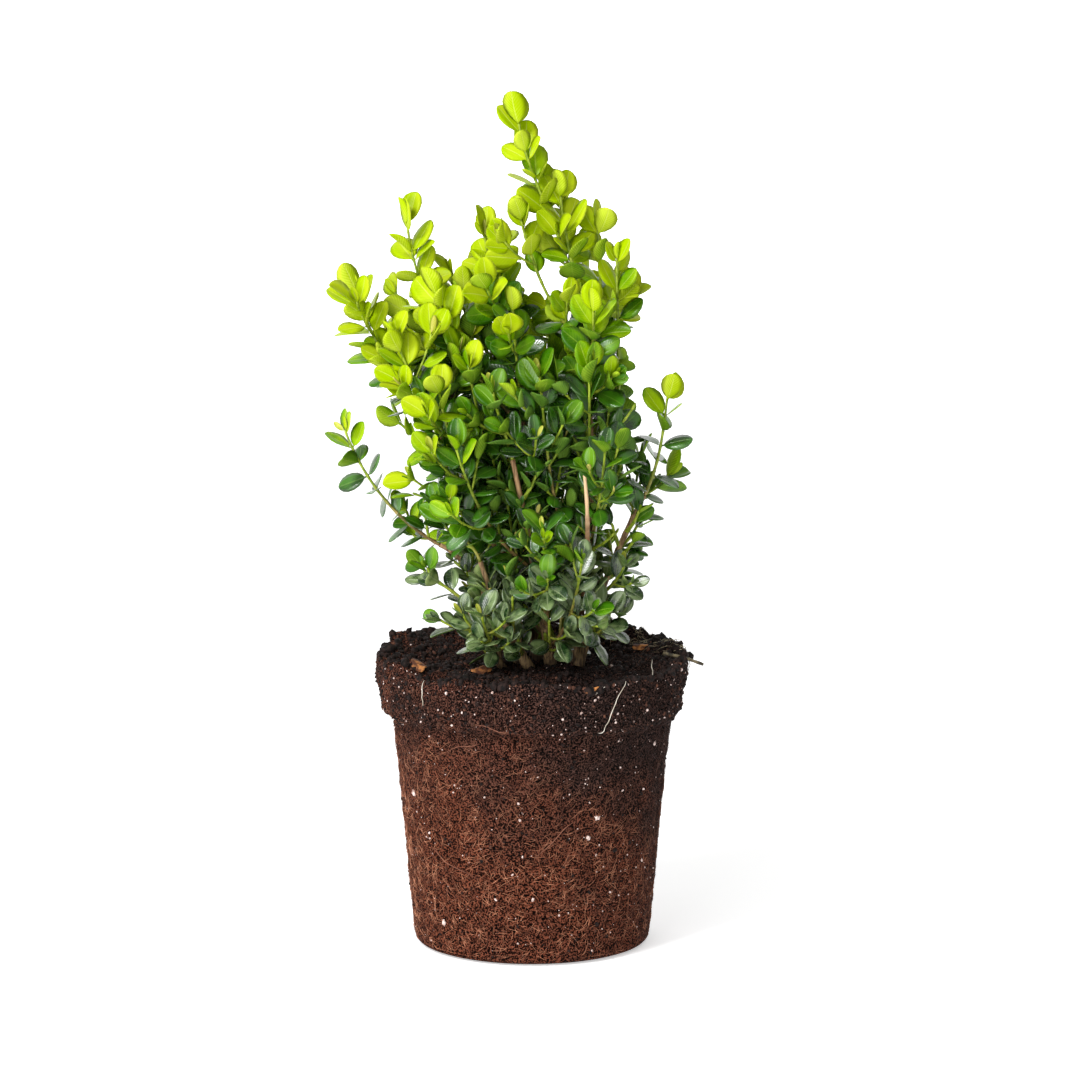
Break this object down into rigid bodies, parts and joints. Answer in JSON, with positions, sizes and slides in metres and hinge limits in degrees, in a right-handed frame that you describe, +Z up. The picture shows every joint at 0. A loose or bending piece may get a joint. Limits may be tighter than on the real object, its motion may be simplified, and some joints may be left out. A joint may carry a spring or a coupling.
{
  "type": "young boxwood shrub on its root ball",
  "caption": "Young unclipped boxwood shrub: a clump of upright stems with small paired leaves on a root ball that keeps the shape of its nursery pot.",
  "frame": {"origin": "centre of the root ball's flat underside", "axes": "+Z up along the stems, +X to the right of the shrub's best side, -Y towards whoever looks at that side"},
  "size_m": [0.2012, 0.1955, 0.4507],
  "materials": {
    "root_ball": "rough, crumbly potting earth held by fine roots",
    "stem_bark": "matte, finely furrowed young bark",
    "leaf_young": "satin young leaf",
    "leaf_grown": "satin leaf",
    "leaf_old": "glossy leathery leaf"
  },
  "bodies": {
    "root": {"root_ball": "root_ball", "main_stem": "stem_bark", "tall_stem": "stem_bark", "right_stem": "stem_bark", "right_back_stem": "stem_bark", "left_crown_stem": "stem_bark", "left_front_stem": "stem_bark", "low_left_stem": "stem_bark", "low_front_stem": "stem_bark", "centre_stem": "stem_bark", "back_left_stem": "stem_bark", "back_right_stem": "stem_bark", "back_stem": "stem_bark", "leaves_top": "leaf_young", "leaves_top_right": "leaf_young", "leaves_right_peak": "leaf_young", "leaves_under_top": "leaf_young", "leaves_right_high_front": "leaf_young", "leaves_right_front": "leaf_grown", "leaves_centre_front": "leaf_grown", "leaves_right_low_front": "leaf_grown", "leaves_front": "leaf_grown", "leaves_front_left": "leaf_grown", "leaves_low_front": "leaf_old", "leaves_low_front_right": "leaf_old", "leaves_right": "leaf_grown", "leaves_right_back": "leaf_old", "leaves_low_right": "leaf_old", "leaves_lowest_right": "leaf_old", "leaves_right_side": "leaf_young", "leaves_right_shoulder": "leaf_grown", "leaves_left_shoulder": "leaf_young", "leaves_left_peak": "leaf_young", "leaves_left_high_front": "leaf_young", "leaves_left": "leaf_grown", "leaves_left_front": "leaf_grown", "leaves_centre_top": "leaf_young", "leaves_left_top": "leaf_young", "leaves_left_centre": "leaf_young", "leaves_centre": "leaf_young", "leaves_inner": "leaf_grown", "leaves_left_bright": "leaf_old", "leaves_far_left": "leaf_grown", "leaves_low_left": "leaf_old", "leaves_lowest_left": "leaf_old", "leaves_back_left": "leaf_young", "leaves_back_left_top": "leaf_young", "leaves_back_left_side": "leaf_grown", "leaves_back_left_low": "leaf_old", "leaves_back_right": "leaf_young", "leaves_back_right_side": "leaf_grown", "leaves_back_right_low": "leaf_old", "leaves_back": "leaf_young", "leaves_back_inner_left": "leaf_grown", "leaves_back_inner_right": "leaf_grown", "leaves_back_low": "leaf_old", "leaves_base_left": "leaf_old", "leaves_base_front": "leaf_old", "leaves_base_centre": "leaf_old", "leaves_base_right": "leaf_old"}
  },
  "joints": []
}
